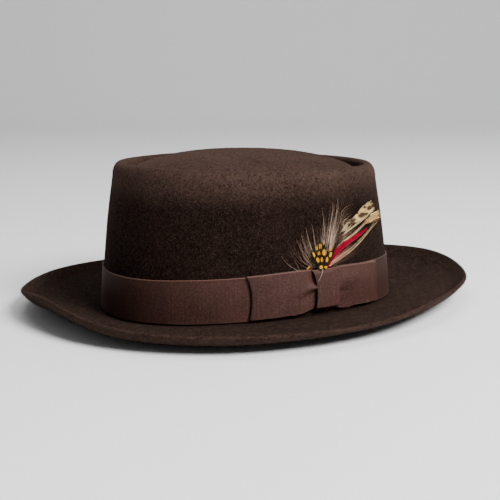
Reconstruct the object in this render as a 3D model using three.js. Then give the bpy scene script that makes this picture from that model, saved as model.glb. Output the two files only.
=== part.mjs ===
// A porkpie hat of brown wool felt with a ribbon band, a flat bow on the wearer's left and a feather trim.
// Millimetres. +X points to the back of the hat, -Y to the wearer's left, +Z up.
// The origin lies under the middle of the brim, on the surface that the hat rests on.

import * as THREE from "three";

// Head opening and felt
const headLength = 203; // inside, front to back
const headWidth = 170; // inside, side to side
const feltWall = 2.4;
const pressed = 0.5; // felt pressed flat where the hat rests
const sideLift = 5; // the break stands higher at the sides than at front and back
const breakRadius = 1.1; // turn from crown to brim, on its upper side; the band starts over it
const fit = 0.3; // clearance between pieces that touch

// Crown
const crownHeight = 98.4; // rest plane to the ridge, at mid length
const crownTaper = 9; // the wall leans in by this much on every side
const crownRake = 6.3; // the ridge is higher at the front by this much
const shoulderWidth = 5.7;
const shoulderHeight = 9.3;
const ridgeWidth = 3.8; // inner slope of the ridge
const grooveWidth = 4.6;
const grooveDepth = 7.5; // ridge to groove floor
const domeRise = 15.2; // groove to the middle of the top
const domeRoundness = 1.22; // power of the dome's arc: more makes its rim meet the groove more gently
const leanPower = 1.5; // the wall leans in slowly at the band and faster near the shoulder

// Brim
const brimHalfLength = 158.5;
const brimHalfWidth = 140.3;
const edgeRise = 15; // most that the brim sweeps up from break to curl
const curlHeight = 5;
const curlWidth = 9.5;
const sweepPower = 1.7; // the brim starts level at the break and steepens toward the curl
const edgeBulge = 0.72; // the cut edge is rounded out by this much

// Ribbon band and bow
const bandHeight = 28.1;
const ribbonWall = 0.8;
const loopLengthFront = 46.5;
const loopLengthBack = 46.5;
const loopWall = 2.2;
const knotWidth = 17.6;
const knotWall = 1.2;
const knotShift = 3.5; // knot's middle, back from the middle of the hat's left side
const knotFoot = 2; // depth of the turned-in foot at the knot's lower end
const loopTuck = 2.7; // length of a loop's end under the knot

// Feather trim
const featherWall = 0.7;
const featherFlare = 0.06; // feathers stand off the wall by this much for each millimetre above the band
const stemWidth = 1.6;
const stemTuck = 6; // length of stem behind the knot
const pivotOver = 2.4; // the feathers leave their stems this far above the band
const plumeHeight = 50; // longest hackle
const barredLength = 68;
const creamLength = 76;
const redLength = 48;
const spottedLength = 21;

// Fineness of the faceted solids
const segments = 60;
const wallLevels = 3;

const headHalfLength = headLength / 2 + feltWall;
const headHalfWidth = headWidth / 2 + feltWall;
const ovalDifference = headHalfLength - headHalfWidth;
const breakHeight = feltWall - pressed;
const shoulderStart = crownHeight - shoulderHeight;
const ridgeHalf = headHalfLength - crownTaper - shoulderWidth;
const toRadians = Math.PI / 180;

// Angles run from the back (0) over the wearer's right side (90) to the front (180)
const brimSections = [
  { angle: 0, reach: 1.029, sweep: 0.8, curl: 1 },
  { angle: 30, reach: 1.002, sweep: 0.53, curl: 1 },
  { angle: 60, reach: 0.971, sweep: 0.35, curl: 0.95 },
  { angle: 90, reach: 0.997, sweep: 0.13, curl: 0.6 },
  { angle: 120, reach: 1.034, sweep: 0.16, curl: 0.9 },
  { angle: 150, reach: 1.001, sweep: 0.39, curl: 1 },
  { angle: 180, reach: 0.963, sweep: 0.98, curl: 1 },
];

// Smooth value of one column of the brim table at any angle, the same on both sides of the hat
function brimValue(column, angle) {
  const step = brimSections[1].angle;
  const last = brimSections.length - 1;
  const place = Math.abs(Math.atan2(Math.sin(angle), Math.cos(angle))) / toRadians / step;
  const index = Math.min(Math.floor(place), last - 1);
  const mirrored = (i) => brimSections[i < 0 ? -i : i > last ? 2 * last - i : i][column];
  const [before, start, end, after] = [-1, 0, 1, 2].map((k) => mirrored(index + k));
  const t = place - index;
  const slopeStart = (end - before) / 2;
  const slopeEnd = (after - start) / 2;
  const t2 = t * t;
  const t3 = t2 * t;
  return (
    (2 * t3 - 3 * t2 + 1) * start +
    (t3 - 2 * t2 + t) * slopeStart +
    (3 * t2 - 2 * t3) * end +
    (t3 - t2) * slopeEnd
  );
}

// The crown's middle lies ahead of the brim's, because the brim reaches further at the back
const crownX = (brimHalfLength * (brimSections.at(-1).reach - brimSections[0].reach)) / 2;

function breakTop(angle) {
  return breakHeight + sideLift * Math.sin(angle) ** 2;
}

function rake(half, angle) {
  return (-crownRake / 2) * (half / ridgeHalf) * Math.cos(angle);
}

function bandBottom(angle) {
  return breakTop(angle) + breakRadius;
}

// Half-length of the crown's oval at a share of the wall's height
function wallHalf(share) {
  return headHalfLength - crownTaper * Math.max(share, 0) ** leanPower;
}

function wallTop(angle) {
  return shoulderStart + rake(ridgeHalf + shoulderWidth, angle);
}

function wallShare(angle, height) {
  return (height - breakTop(angle)) / (wallTop(angle) - breakTop(angle));
}

function ovalPoint(half, angle, height, halfWidth = half - ovalDifference) {
  return new THREE.Vector3(crownX + half * Math.cos(angle), halfWidth * Math.sin(angle), height);
}

// A point at a distance outside the crown's wall
function wallPoint(angle, height, offset) {
  return ovalPoint(wallHalf(wallShare(angle, height)) + offset, angle, height);
}

// Body from points and triangles, turned so that its faces point out
function bodyOf(points, triangles) {
  let volume = 0;
  for (const [a, b, c] of triangles) {
    volume += points[a].dot(new THREE.Vector3().crossVectors(points[b], points[c]));
  }
  const facing = volume > 0 ? triangles : triangles.map(([a, b, c]) => [a, c, b]);
  const geometry = new THREE.BufferGeometry().setFromPoints(points);
  geometry.setIndex(facing.flat());
  return geometry;
}

// Skin over a row of rings, closed by a point at each end or by joining the last ring to the first
function skinOf(rings, firstPoint, lastPoint) {
  const points = rings.flat();
  const triangles = [];
  const closed = !firstPoint;
  const spans = closed ? rings.length : rings.length - 1;
  for (let ring = 0; ring < spans; ring++) {
    const next = (ring + 1) % rings.length;
    for (let i = 0; i < segments; i++) {
      const j = (i + 1) % segments;
      const [a, b] = [ring * segments + i, ring * segments + j];
      const [c, d] = [next * segments + i, next * segments + j];
      triangles.push([a, b, c], [b, d, c]);
    }
  }
  if (!closed) {
    const first = points.push(firstPoint) - 1;
    const last = points.push(lastPoint) - 1;
    const lastRing = (rings.length - 1) * segments;
    for (let i = 0; i < segments; i++) {
      const j = (i + 1) % segments;
      triangles.push([first, j, i], [last, lastRing + i, lastRing + j]);
    }
  }
  return bodyOf(points, triangles);
}

// Closed sheet between a front and a back grid of points
function sheetOf(columns, rows, front, back) {
  const points = [];
  const triangles = [];
  for (const side of [front, back]) {
    for (let i = 0; i <= columns; i++) {
      for (let j = 0; j <= rows; j++) points.push(side(i / columns, j / rows));
    }
  }
  const half = points.length / 2;
  const at = (i, j) => i * (rows + 1) + j;
  const quad = (a, b, c, d) => triangles.push([a, b, c], [a, c, d]);
  for (let i = 0; i < columns; i++) {
    for (let j = 0; j < rows; j++) {
      const [a, b, c, d] = [at(i, j), at(i + 1, j), at(i + 1, j + 1), at(i, j + 1)];
      quad(a, b, c, d);
      quad(half + d, half + c, half + b, half + a);
    }
    quad(at(i + 1, 0), at(i, 0), half + at(i, 0), half + at(i + 1, 0));
    quad(at(i, rows), at(i + 1, rows), half + at(i + 1, rows), half + at(i, rows));
  }
  for (let j = 0; j < rows; j++) {
    quad(at(0, j), at(0, j + 1), half + at(0, j + 1), half + at(0, j));
    quad(at(columns, j + 1), at(columns, j), half + at(columns, j), half + at(columns, j + 1));
  }
  return bodyOf(points, triangles);
}

// One station of the crown's section: where its upper side lies and which way that side faces.
// The lower side lies one wall behind it, along the same direction. Width is the oval's, as a share of
// its length, or that of the crown's wall where none is given.
function crownStation(half, rise, facing, both = true, width = 1 - ovalDifference / half) {
  return { half, rise, facing: facing * toRadians, both, width };
}

// The dome's height over its rim, where turn is 90 at its middle and 0 at its rim
function domeHeight(turn) {
  return domeRise * Math.sin(turn * toRadians) ** domeRoundness;
}

// Stations of the dome, from near its middle out to its rim
const domeTurns = [72, 54, 40, 28, 18, 9];
function domeStations(rimHalf, rimRise) {
  const stations = [];
  for (const turn of domeTurns) {
    const t = turn * toRadians;
    const slope = (domeRoundness * domeHeight(turn) * Math.cos(t)) / (rimHalf * Math.sin(t) ** 2);
    const facing = Math.atan2(1, slope) / toRadians;
    const rise = rimRise + domeHeight(turn);
    const both = turn !== domeTurns[1] && turn !== domeTurns[3];
    const width = 1 - ovalDifference / rimHalf;
    stations.push(crownStation(rimHalf * Math.cos(t), rise, facing, both, width));
  }
  return stations;
}

// Heights are measured from the ridge
function crownStations() {
  const ridgeShare = 0.56; // of the groove's depth, down to where the ridge's slope meets the floor's arc
  const floorRise = -grooveDepth * ridgeShare;
  const floorDepth = grooveDepth * (1 - ridgeShare);
  const floorHalf = grooveWidth / 2;
  const floorMiddle = ridgeHalf - ridgeWidth - floorHalf;
  const floor = [135, 90, 45, 0].map((turn) => {
    const t = turn * toRadians;
    return crownStation(
      floorMiddle + floorHalf * Math.cos(t),
      floorRise - floorDepth * Math.sin(t),
      180 - turn,
      turn !== 0,
    );
  });
  const ridge = [140, 90].map((turn) => {
    const t = turn * toRadians;
    return crownStation(ridgeHalf + ridgeWidth * Math.cos(t), floorRise * (1 - Math.sin(t)), turn);
  });
  const shoulder = [60, 30, 0].map((turn) => {
    const t = turn * toRadians;
    const rise = shoulderHeight * (Math.sin(t) - 1);
    return crownStation(ridgeHalf + shoulderWidth * Math.cos(t), rise, turn, turn !== 60);
  });
  return [...domeStations(floor[0].half, floor[0].rise), ...floor, ...ridge, ...shoulder];
}

// Point of the upper side (wall 0) or lower side (wall feltWall) of the crown's top
function crownPoint(station, angle, wall) {
  const inward = wall * Math.cos(station.facing);
  const halfWidth = station.half * station.width - inward;
  const height = crownHeight + station.rise - wall * Math.sin(station.facing);
  return ovalPoint(station.half - inward, angle, height + rake(station.half, angle), halfWidth);
}

// The brim's upper side at a share of its width: its height over the break, the curl included
function brimRise(share, angle, width) {
  const sweep = edgeRise * brimValue("sweep", angle) * share ** sweepPower;
  const intoCurl = Math.max(0, 1 - ((1 - share) * width) / curlWidth);
  return sweep + curlHeight * brimValue("curl", angle) * intoCurl ** 2;
}

function brimPoint(share, angle, wall, outward = 0) {
  const reach = brimValue("reach", angle);
  const inner = ovalPoint(headHalfLength + breakRadius, angle, breakTop(angle));
  const outer = new THREE.Vector3(
    crownX + brimHalfLength * reach * Math.cos(angle),
    brimHalfWidth * reach * Math.sin(angle),
    inner.z,
  );
  const width = inner.distanceTo(outer);
  const across = outer.clone().sub(inner).normalize();
  const step = 0.5 / width;
  const run = brimRise(share, angle, width) - brimRise(share - step, angle, width);
  const slope = share < step ? 0 : Math.atan(run / (step * width));
  const point = inner.lerp(outer, share);
  point.z += brimRise(share, angle, width);
  point.addScaledVector(across, wall * Math.sin(slope) + outward * Math.cos(slope));
  point.z += outward * Math.sin(slope) - wall * Math.cos(slope);
  if (wall > 0) point.z = Math.max(point.z, 0);
  return point;
}

// The turn from crown to brim, from 0 on the wall to 90 on the brim
function breakPoint(turn, angle, wall) {
  const t = turn * toRadians;
  const radius = breakRadius + wall;
  const half = headHalfLength + breakRadius - radius * Math.cos(t);
  const height = breakTop(angle) + breakRadius - radius * Math.sin(t);
  return ovalPoint(half, angle, Math.max(height, 0));
}

function ringOf(pointAt) {
  return Array.from({ length: segments }, (_, i) => pointAt((2 * Math.PI * i) / segments));
}

function wallRings(offset, shares) {
  return shares.map((share) =>
    ringOf((angle) => {
      const low = bandBottom(angle) + bandHeight;
      return wallPoint(angle, low + (wallTop(angle) - low) * share, offset);
    }),
  );
}

function bandRings(offset, shares) {
  return shares.map((share) =>
    ringOf((angle) => wallPoint(angle, bandBottom(angle) + bandHeight * share, offset)),
  );
}

function feltBody() {
  const stations = crownStations();
  const outerBrim = [0.09, 0.18, 0.34, 0.52, 0.7, 0.82, 0.91, 1];
  const innerBrim = [1, 0.91, 0.82, 0.6, 0.34, 0.18, 0.09, 0];
  const wallSteps = Array.from({ length: wallLevels }, (_, i) => (wallLevels - i) / (wallLevels + 1));
  const rings = [
    ...stations.map((station) => ringOf((angle) => crownPoint(station, angle, 0))),
    ...wallRings(0, [...wallSteps, 0]),
    ...bandRings(0, [0.5]),
    ringOf((angle) => breakPoint(0, angle, 0)),
    ringOf((angle) => breakPoint(45, angle, 0)),
    ringOf((angle) => breakPoint(90, angle, 0)),
    ...outerBrim.map((share) => ringOf((angle) => brimPoint(share, angle, 0))),
    ringOf((angle) => brimPoint(1, angle, feltWall * 0.25, edgeBulge)),
    ringOf((angle) => brimPoint(1, angle, feltWall * 0.75, edgeBulge)),
    ...innerBrim.map((share) => ringOf((angle) => brimPoint(share, angle, feltWall))),
    ringOf((angle) => breakPoint(55, angle, feltWall)),
    ringOf((angle) => breakPoint(20, angle, feltWall)),
    ...bandRings(-feltWall, [0.5, 1]),
    ...wallRings(-feltWall, [0.5]),
    ...stations
      .filter((station) => station.both)
      .reverse()
      .map((station) => ringOf((angle) => crownPoint(station, angle, feltWall))),
  ];
  const top = crownHeight + stations[0].rise + domeRise - domeHeight(domeTurns[0]);
  const middle = new THREE.Vector3(crownX, 0, top);
  return skinOf(rings, middle, middle.clone().setZ(top - feltWall));
}

function hatBand() {
  const inner = fit;
  const outer = fit + ribbonWall;
  return skinOf([...bandRings(outer, [0, 0.5, 1]), ...bandRings(inner, [1, 0.5, 0])]);
}

// Angle at a distance along the band from the middle of the hat's left side, positive to the back
const bandOuter = fit + ribbonWall;
function angleAlong(distance) {
  const steps = 60;
  let angle = -Math.PI / 2;
  for (let i = 0; i < steps; i++) {
    const run = Math.hypot(
      (headHalfLength + bandOuter) * Math.sin(angle),
      (headHalfWidth + bandOuter) * Math.cos(angle),
    );
    angle += distance / steps / run;
  }
  return angle;
}

// A point over the band: distance along it, share of its height, distance off its outer face
function bandPoint(along, share, off) {
  const angle = angleAlong(along);
  return wallPoint(angle, bandBottom(angle) + bandHeight * share, bandOuter + off);
}

// Value of one column of a table at a place along it
function tableValue(table, column, place) {
  const next = Math.max(1, table.findIndex((row) => row.along >= place));
  const [a, b] = [table[next - 1], table[next]];
  const t = (place - a.along) / (b.along - a.along);
  return THREE.MathUtils.lerp(a[column], b[column], t * t * (3 - 2 * t));
}

// Loops from their folded end (0) to their end under the knot (1); low and high are shares of the band
// height, puff of the loop's thickness, fold of the ribbon's thickness
const frontLoopSections = [
  { along: 0, low: 0.04, high: 1.03, puff: 0.55, fold: 0 },
  { along: 0.06, low: 0.03, high: 1.04, puff: 1, fold: 0 },
  { along: 0.5, low: 0.06, high: 1.06, puff: 1.1, fold: 0.5 },
  { along: 0.86, low: 0.12, high: 1.05, puff: 0.85, fold: 1 },
  { along: 1, low: 0.16, high: 1, puff: 0.6, fold: 0.4 },
];
const backLoopSections = [
  { along: 0, low: 0.04, high: 0.98, puff: 0.5, fold: 0 },
  { along: 0.06, low: 0.04, high: 0.99, puff: 0.9, fold: 0 },
  { along: 0.5, low: 0.06, high: 1.02, puff: 1, fold: 0.3 },
  { along: 0.86, low: 0.08, high: 1.05, puff: 0.9, fold: 0.8 },
  { along: 1, low: 0.12, high: 1, puff: 0.6, fold: 0.3 },
];

function bowLoop(table, length, direction) {
  const columns = 10;
  const rows = 8;
  const folded = knotShift + direction * (knotWidth / 2 - loopTuck + length);
  const heightAt = (u, v) =>
    THREE.MathUtils.lerp(tableValue(table, "low", u), tableValue(table, "high", u), v);
  const alongAt = (u) => folded - direction * length * u;
  const thickness = (u, v) => {
    const rounded = Math.min(1, 0.6 + 3 * v, 0.6 + 3 * (1 - v));
    const crease = ribbonWall * tableValue(table, "fold", u) * Math.cos(3 * Math.PI * (v - 0.5)) ** 2;
    return loopWall * tableValue(table, "puff", u) * rounded - crease * 0.6;
  };
  return sheetOf(
    columns,
    rows,
    (u, v) => bandPoint(alongAt(u), heightAt(u, v), fit + thickness(u, v)),
    (u, v) => bandPoint(alongAt(u), heightAt(u, v), fit),
  );
}

// Feathers lie in layers on the band, one in front of the other
function layerOff(layer) {
  return fit + layer * (featherWall + fit);
}
const featherLayers = 4;
const knotInner = layerOff(featherLayers);
const knotEdgeInner = 2 * fit + loopWall * 0.9;

function bowKnot() {
  const low = 0.09;
  const high = 1.03;
  const rows = 8;
  const footRow = 1 / rows;
  const footHalf = 1 - (loopTuck + 2 * fit) / (knotWidth / 2);
  const footShare = knotFoot / bandHeight / (high - low);
  const innerOff = (u, v) => {
    const arch = Math.cos((Math.PI / 2) * (2 * u - 1)) ** 0.6;
    const raised = THREE.MathUtils.lerp(knotEdgeInner, knotInner, arch);
    const inFoot = v < footRow * 1.5 && Math.abs(2 * u - 1) < footHalf;
    return inFoot ? fit : raised;
  };
  const alongAt = (u) => knotShift + knotWidth * (u - 0.5);
  const heightAt = (v) => THREE.MathUtils.lerp(low, high, v);
  const stretch = (v) => (v < footRow * 1.5 ? (v / footRow) * footShare : v);
  return sheetOf(
    8,
    rows,
    (u, v) => {
      const rounded = v === 0 ? 0.55 : 1;
      return bandPoint(alongAt(u), heightAt(v), innerOff(u, 1) * rounded + knotWall);
    },
    (u, v) => bandPoint(alongAt(u), heightAt(stretch(v)), innerOff(u, v)),
  );
}

// A point of the feather trim: distance along the band, height over the band's top, layer, depth in it
function featherPoint(along, over, layer, depth) {
  const angle = angleAlong(along);
  const height = bandBottom(angle) + bandHeight + over;
  const off = bandOuter + layerOff(layer) + depth + featherFlare * Math.max(over, 0);
  return wallPoint(angle, height, off);
}

// Place along a stem's or blade's own line, turned by degrees from upright toward the back
function stepFrom([along, over], degrees, distance) {
  const direction = degrees * toRadians;
  return [along + Math.sin(direction) * distance, over + Math.cos(direction) * distance];
}

// Feather sheet over lines that each run from the stem's foot to the feather's edge
function featherSheet(lines, layer) {
  const rows = lines[0].length - 1;
  const at = (u, v, depth) => {
    const [along, over] = lines[Math.round(u * (lines.length - 1))][Math.round(v * rows)];
    return featherPoint(along, over, layer, depth);
  };
  return sheetOf(lines.length - 1, rows, (u, v) => at(u, v, featherWall), (u, v) => at(u, v, 0));
}

// One blade on its stem, leaning by degrees toward the back and bending by more toward its tip
function blade({ along, layer, lean, bend, length, width, widest }) {
  const steps = 6;
  const lines = [[], [], []];
  const addRow = (middle, direction, half) => {
    [-1, 0, 1].forEach((side, i) => lines[i].push(stepFrom(middle, direction + 90, half * side)));
  };
  const start = lean - bend / 2;
  addRow([along, -stemTuck], 0, stemWidth / 2);
  addRow([along, pivotOver], start / 2, stemWidth / 2);
  for (let i = 1; i <= steps; i++) {
    const t = i / steps;
    const middle = stepFrom([along, pivotOver], start + (bend * t) / 2, length * t);
    const rising = Math.sin((Math.PI / 2) * Math.min(1, t / widest));
    const falling = Math.cos((Math.PI / 2) * Math.max(0, (t - widest) / (1 - widest)));
    addRow(middle, start + bend * t, Math.max(stemWidth / 4, (width / 2) * Math.min(rising, falling)));
  }
  return featherSheet(lines, layer);
}

// A fan of pointed locks on one stem, with notches between them
function fan(locks, { along, layer, length, notch }) {
  const edge = locks.flatMap((lock, i) => {
    const next = locks[i + 1];
    if (!next) return [lock];
    const between = (column) => (lock[column] + next[column]) / 2;
    return [lock, { lean: between("lean"), reach: between("reach") * notch, bend: between("bend") }];
  });
  const steps = 4;
  const lines = edge.map(({ lean, reach, bend }, i) => {
    const foot = along + stemWidth * (i / (edge.length - 1) - 0.5);
    const line = [[foot, -stemTuck], [foot, pivotOver]];
    for (let k = 1; k <= steps; k++) {
      const t = k / steps;
      line.push(stepFrom([foot, pivotOver], lean + (bend * (t - 1)) / 2, length * reach * t));
    }
    return line;
  });
  return featherSheet(lines, layer);
}

// Locks of each fan; reach is a share of that feather's own length
const hackleLocks = [
  { lean: -68, reach: 0.58, bend: 12 },
  { lean: -53, reach: 0.51, bend: 8 },
  { lean: -38, reach: 0.47, bend: 6 },
  { lean: -25, reach: 0.57, bend: 4 },
  { lean: -13, reach: 0.63, bend: 0 },
  { lean: -1, reach: 0.72, bend: 0 },
  { lean: 10, reach: 0.78, bend: 0 },
  { lean: 19, reach: 0.96, bend: -4 },
  { lean: 27, reach: 1, bend: -6 },
  { lean: 36, reach: 0.8, bend: -8 },
];
const barredLocks = [
  { lean: 41, reach: 0.66, bend: 14 },
  { lean: 51, reach: 0.92, bend: 10 },
  { lean: 60, reach: 1, bend: -4 },
];

const feathers = {
  feather_hackle: fan(hackleLocks, { along: -0.5, layer: 0, length: plumeHeight, notch: 0.62 }),
  feather_barred: fan(barredLocks, { along: 2.2, layer: 1, length: barredLength, notch: 0.8 }),
  feather_cream: blade({
    along: 7.2,
    layer: 1,
    lean: 66,
    bend: -44,
    length: creamLength,
    width: 5,
    widest: 0.6,
  }),
  feather_red: blade({
    along: 5,
    layer: 2,
    lean: 66,
    bend: -6,
    length: redLength,
    width: 3.2,
    widest: 0.4,
  }),
  feather_spotted: blade({
    along: 2,
    layer: 3,
    lean: 9,
    bend: 0,
    length: spottedLength,
    width: 16,
    widest: 0.55,
  }),
};

const felt = { color: 0x3f2e26, roughness: 0.98, metalness: 0 };
const ribbon = { color: 0x4d342c, roughness: 0.7, metalness: 0 };
const featherLooks = {
  feather_hackle: { color: 0x8d7058, roughness: 0.85, metalness: 0 },
  feather_barred: { color: 0xb7a888, roughness: 0.8, metalness: 0 },
  feather_cream: { color: 0xd8cdaa, roughness: 0.8, metalness: 0 },
  feather_red: { color: 0xa81c22, roughness: 0.75, metalness: 0 },
  feather_spotted: { color: 0x1f1914, roughness: 0.8, metalness: 0 },
};

const hat = new THREE.Group();

function place(name, geometry, look) {
  const mesh = new THREE.Mesh(geometry, new THREE.MeshStandardMaterial(look));
  mesh.name = name;
  hat.add(mesh);
}

place("felt_body", feltBody(), felt);
place("hat_band", hatBand(), ribbon);
place("bow_loop_front", bowLoop(frontLoopSections, loopLengthFront, -1), ribbon);
place("bow_loop_back", bowLoop(backLoopSections, loopLengthBack, 1), ribbon);
place("bow_knot", bowKnot(), ribbon);
for (const [name, geometry] of Object.entries(feathers)) place(name, geometry, featherLooks[name]);

export default hat;
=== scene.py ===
import math
import random

import bpy
import numpy as np
from mathutils import Matrix, Vector, noise


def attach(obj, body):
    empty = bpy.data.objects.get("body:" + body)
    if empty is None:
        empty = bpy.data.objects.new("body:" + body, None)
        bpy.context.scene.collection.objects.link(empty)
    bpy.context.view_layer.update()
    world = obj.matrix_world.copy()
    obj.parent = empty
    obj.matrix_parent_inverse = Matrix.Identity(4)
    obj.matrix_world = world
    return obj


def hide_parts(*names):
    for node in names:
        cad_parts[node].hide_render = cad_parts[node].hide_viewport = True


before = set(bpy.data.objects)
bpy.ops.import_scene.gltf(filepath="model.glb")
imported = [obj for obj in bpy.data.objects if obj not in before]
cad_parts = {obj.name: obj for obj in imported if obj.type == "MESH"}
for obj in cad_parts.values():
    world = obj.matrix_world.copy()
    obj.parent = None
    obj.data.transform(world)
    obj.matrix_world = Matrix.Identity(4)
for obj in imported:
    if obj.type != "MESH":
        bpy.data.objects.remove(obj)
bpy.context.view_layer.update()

mm = 0.001

# Camera at the photo's angle: its place in millimetres, and its own ways in the hat's frame
camera = {
    "place": (-439.35, -694.71, 187.01),
    "right": (0.84705, -0.53141, -0.01006),
    "up": (0.10072, 0.1419, 0.98474),
    "forward": (0.52188, 0.83514, -0.17372),
    "lens": 85.68, "sensor": 36.0,
    "shift": (0.00649, -0.01884),
    "nearest": 0.01,
}


def addObject(name, data):
    obj = bpy.data.objects.new(name, data)
    bpy.context.scene.collection.objects.link(obj)
    return obj


def setCamera():
    data = bpy.data.cameras.new("camera")
    data.lens = camera["lens"]
    data.sensor_width = camera["sensor"]
    data.sensor_fit = "HORIZONTAL"
    data.shift_x, data.shift_y = camera["shift"]
    data.clip_start = camera["nearest"]
    right, up, forward = (Vector(camera[key]) for key in ("right", "up", "forward"))
    turn = Matrix((right, up, -forward)).transposed().to_4x4()
    obj = addObject("camera", data)
    obj.matrix_world = Matrix.Translation(Vector(camera["place"]) * mm) @ turn
    bpy.context.scene.camera = obj


setCamera()
print("camera set")


# Shader maths: one socket, with operators that add Math nodes
class Value:
    def __init__(self, tree, socket):
        self.tree = tree
        self.socket = socket

    def maths(self, operation, *others, clamp=False, swapped=False):
        node = self.tree.nodes.new("ShaderNodeMath")
        node.operation = operation
        node.use_clamp = clamp
        for index, item in enumerate(others + (self,) if swapped else (self,) + others):
            if isinstance(item, Value):
                self.tree.links.new(item.socket, node.inputs[index])
            else:
                node.inputs[index].default_value = item
        return Value(self.tree, node.outputs[0])

    def __add__(self, other):
        return self.maths("ADD", other)

    def __radd__(self, other):
        return self.maths("ADD", other, swapped=True)

    def __sub__(self, other):
        return self.maths("SUBTRACT", other)

    def __rsub__(self, other):
        return self.maths("SUBTRACT", other, swapped=True)

    def __mul__(self, other):
        return self.maths("MULTIPLY", other)

    def __rmul__(self, other):
        return self.maths("MULTIPLY", other, swapped=True)

    def __truediv__(self, other):
        return self.maths("DIVIDE", other)

    def __rtruediv__(self, other):
        return self.maths("DIVIDE", other, swapped=True)

    def clamped(self):
        return self.maths("ADD", 0.0, clamp=True)

    def above(self, edge, soft):  # 0 below the edge, 1 above it
        return ((self - edge) / soft + 0.5).clamped()


class Finish:
    def __init__(self, name, roughness, specular, sheen=()):  # sheen: weight, roughness, tint
        self.material = bpy.data.materials.new(name)
        self.material.use_nodes = True
        self.tree = self.material.node_tree
        self.shader = self.tree.nodes["Principled BSDF"]
        sockets = ("Roughness", "Specular IOR Level", "Sheen Weight", "Sheen Roughness", "Sheen Tint")
        for socket, value in zip(sockets, (roughness, specular, *sheen)):
            self.shader.inputs[socket].default_value = value

    # Any node: its settings first, a ramp's stops among them, then the values or links of its sockets
    def node(self, kind, settings, sockets):
        node = self.tree.nodes.new(kind)
        for key, value in settings.items():
            if key == "stops":
                points = node.color_ramp.elements
                while len(points) < len(value):
                    points.new(0.5)
                for point, (place, colour) in zip(points, value):
                    point.position = place
                    point.color = (*colour, 1.0)
            else:
                setattr(node, key, value)
        for key, value in sockets.items():
            if isinstance(value, Value):
                self.tree.links.new(value.socket, node.inputs[key])
            else:
                node.inputs[key].default_value = value
        return lambda output=0: Value(self.tree, node.outputs[output])

    def millimetres(self):
        place = self.node("ShaderNodeTexCoord", {}, {})("Object")
        return self.node("ShaderNodeVectorMath", {"operation": "SCALE"}, {0: place, 3: 1 / mm})()

    def stretched(self, place, scale):
        return self.node("ShaderNodeVectorMath", {"operation": "MULTIPLY"}, {0: place, 1: scale})()

    def noise(self, place, scale, detail=3.0, roughness=0.55, distortion=0.0):
        sockets = {"Vector": place, "Scale": scale, "Detail": detail}
        sockets |= {"Roughness": roughness, "Distortion": distortion}
        return self.node("ShaderNodeTexNoise", {}, sockets)("Fac")

    def ramp(self, value, stops):
        return self.node("ShaderNodeValToRGB", {"stops": stops}, {0: value})()

    def mix(self, share, first, second):
        def full(colour):
            return colour if isinstance(colour, Value) else (*colour, 1.0)

        sockets = {0: share, 6: full(first), 7: full(second)}
        return self.node("ShaderNodeMix", {"data_type": "RGBA"}, sockets)(2)

    def attribute(self, name):
        return self.node("ShaderNodeAttribute", {"attribute_name": name}, {})("Vector")

    def marks(self, name):  # the three values that each point of a mesh holds
        parts = self.node("ShaderNodeSeparateXYZ", {}, {0: self.attribute(name)})
        return parts(0), parts(1), parts(2)

    def feed(self, socket, value):
        self.tree.links.new(value.socket, self.shader.inputs[socket])

    def coloured(self, colour):
        self.feed("Base Color", colour)
        return self.material

    def bump(self, height, strength, distance):
        sockets = {"Height": height, "Strength": strength, "Distance": distance * mm}
        self.feed("Normal", self.node("ShaderNodeBump", {}, sockets)("Normal"))


def feltFinish():
    look = {
        "base": (0.0118, 0.0062, 0.0049),
        "dark": (0.0032, 0.0015, 0.0011),
        "fleck": (0.041, 0.024, 0.018),
        "paleTone": (0.07, 0.042, 0.032),
        "sheen": (0.1, 0.25, (0.6, 0.4, 0.32, 1.0)),
        "coarseness": 0.85, "relief": 0.6,
    }
    wool = Finish("feltFinish", 0.97, 0.03, look["sheen"])
    place = wool.millimetres()
    top, edge, flat = wool.marks("wear")
    cloud = wool.noise(place, 0.035, 4.0, 0.6)
    patch = wool.noise(place, 0.16, 3.0, 0.6)
    nap = wool.noise(place, 0.7, 3.0, 0.7, 0.4)
    fibre = wool.noise(wool.stretched(place, (1.0, 1.0, 0.7)), 1.0, 2.0, 0.7, 1.5)
    coarse = (wool.noise(place, 0.37, 3.0, 0.8, 0.6) - 0.5) * flat * (1.0 - edge * 0.6)
    coarse = coarse * look["coarseness"]
    nap = nap + coarse
    # top and edge also lighten tone and flecks: painted highlight on the crown's top and groove, wear and
    # painted highlight on the brim's edge
    tone = nap * 0.6 + patch * 0.15 + cloud * 0.25 + top * 0.06 + edge * 0.06 + flat * 0.04
    colour = wool.mix(tone.above(0.51, 0.2), look["dark"], look["base"])
    hairs = (fibre + coarse).above(0.57, 0.12) * (0.55 + top * 0.3 + edge * 0.2 + flat * 0.2)
    colour = wool.mix(hairs, colour, look["fleck"])
    # Painted highlight: the crown's top and its groove painted paler; the brim's edge paler from wear and
    # painted highlight, the brim's flat a little paler
    paleTone = (top * 0.52 + edge * 0.22 + flat * 0.06).clamped() * (nap * 3.6 + cloud * 1.2 - 1.55)
    wool.bump(nap * 0.7 + fibre * 0.8 + patch, 0.85, look["relief"])
    return wool.coloured(wool.mix(paleTone.clamped(), colour, look["paleTone"]))


def fuzzFinish():
    look = {
        "tones": [
            (0.0, (0.0035, 0.0017, 0.0012)),
            (0.5, (0.016, 0.0088, 0.0068)),
            (0.85, (0.055, 0.034, 0.026)),
            (1.0, (0.11, 0.076, 0.058)),
        ],
        "paleTone": (0.075, 0.046, 0.035),
        "topHighlight": 0.2,
    }
    fibres = Finish("fuzzFinish", 0.9, 0.05)
    tone, top, _ = fibres.marks("wear")
    # Painted highlight: fuzz over the crown's top and in its groove painted paler
    return fibres.coloured(fibres.mix(top * look["topHighlight"], fibres.ramp(tone, look["tones"]), look["paleTone"]))


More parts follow.
